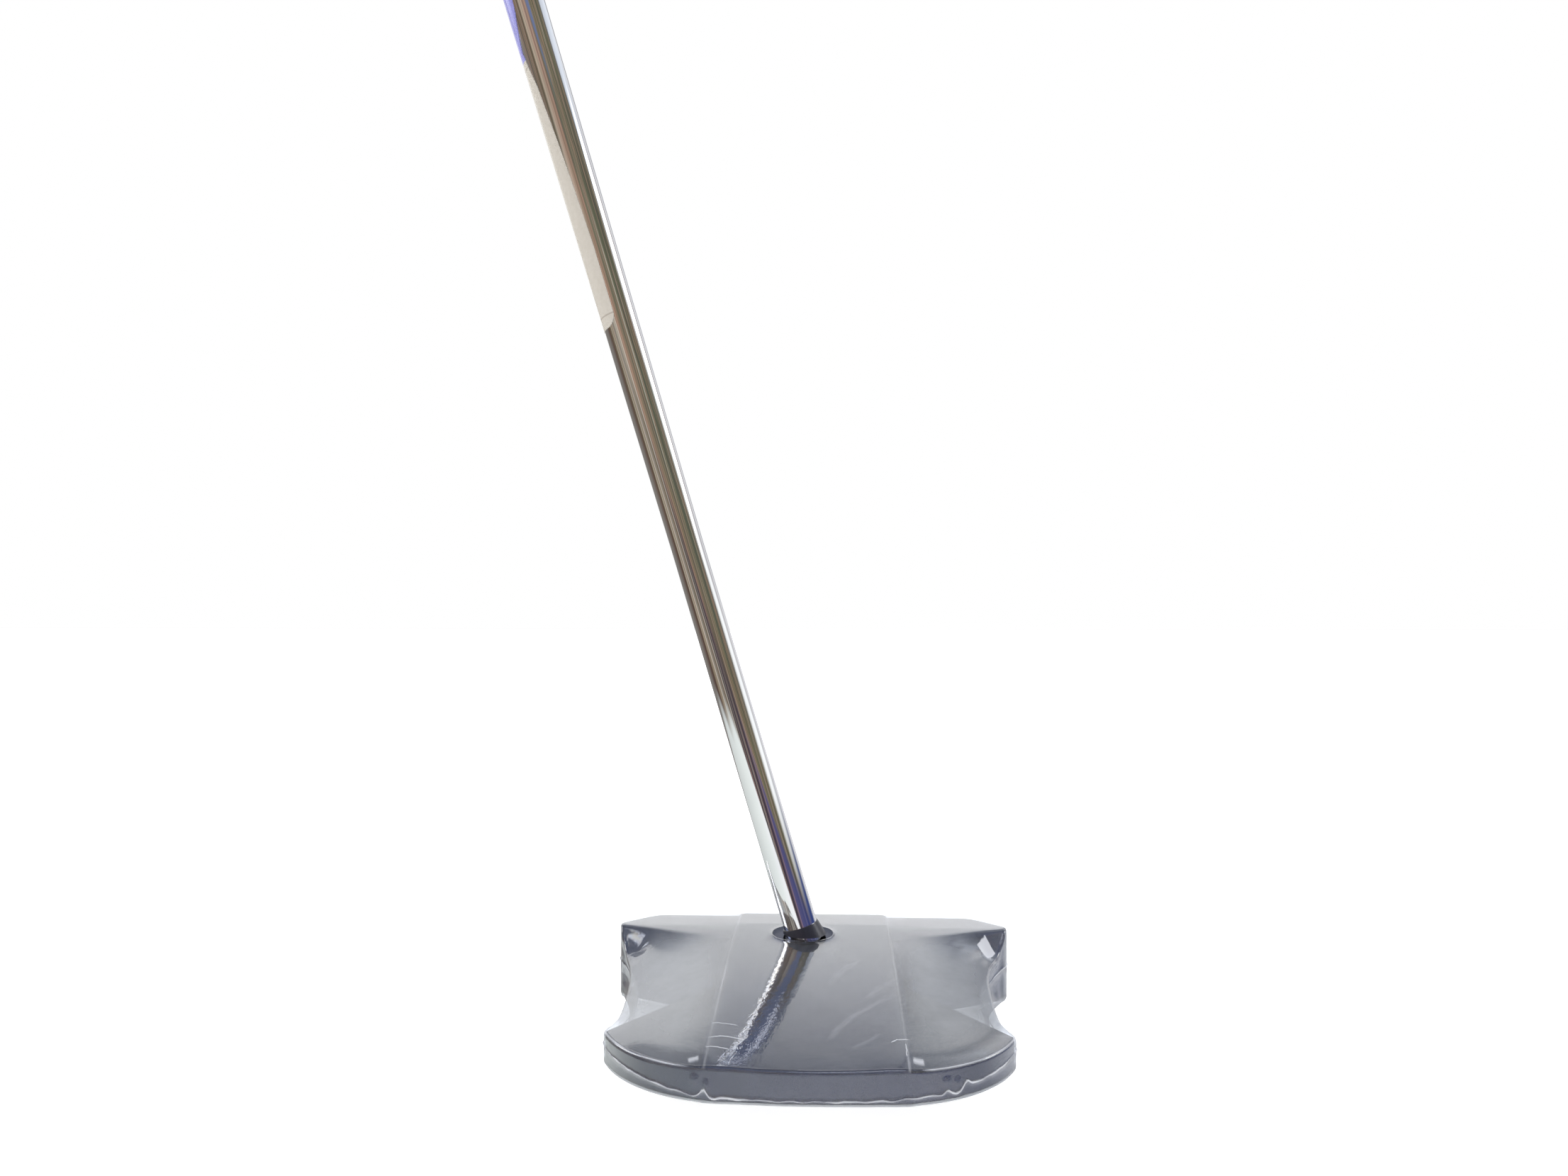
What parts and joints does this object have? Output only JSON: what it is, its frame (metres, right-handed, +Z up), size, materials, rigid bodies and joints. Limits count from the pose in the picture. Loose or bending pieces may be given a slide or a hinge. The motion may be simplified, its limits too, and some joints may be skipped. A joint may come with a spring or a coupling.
{
  "type": "centre-shafted mallet putter",
  "caption": "Mallet golf putter with an hourglass head wrapped in clear shrink film, a short collar, a tapered chrome shaft with a label and a rubber grip.",
  "frame": {"origin": "on the ground under the middle of the sole, in the plane where the shaft meets the crown", "axes": "+X towards the toe, -X towards the heel, +Y towards the target (the face), +Z up with the head soled"},
  "size_m": [0.3172, 0.124, 0.8301],
  "materials": {
    "head_metal": "dark anodised, fine bead-blasted",
    "head_plate": "dark anodised, satin",
    "insert_metal": "fly-cut, with milled grooves",
    "bond_tape": "matt adhesive tape",
    "sole_steel": "brushed",
    "screw_steel": "turned",
    "weight_steel": "turned face",
    "seal_rubber": "matt black rubber",
    "ferrule_plastic": "polished black",
    "epoxy": "cured adhesive",
    "shaft_chrome": "bright chrome plate",
    "label": "glossy printed film, ivory with a lavender zone",
    "grip_rubber": "moulded black rubber with a fine pattern",
    "film": "clear glossy shrink film with wrinkles"
  },
  "bodies": {
    "root": {"head_body": "head_metal", "alignment_plate": "head_plate", "face_insert": "insert_metal", "insert_tape": "bond_tape", "sole_plate": "sole_steel", "sole_screws": "screw_steel", "heel_front_weight": "weight_steel", "toe_front_weight": "weight_steel", "heel_rear_weight": "weight_steel", "toe_rear_weight": "weight_steel", "weight_seals": "seal_rubber", "ferrule": "ferrule_plastic", "shaft_epoxy": "epoxy", "tip_plug": "epoxy", "shaft": "shaft_chrome", "shaft_label": "label", "grip_tape": "bond_tape", "grip": "grip_rubber", "grip_cap": "grip_rubber", "head_film": "film"}
  },
  "joints": []
}
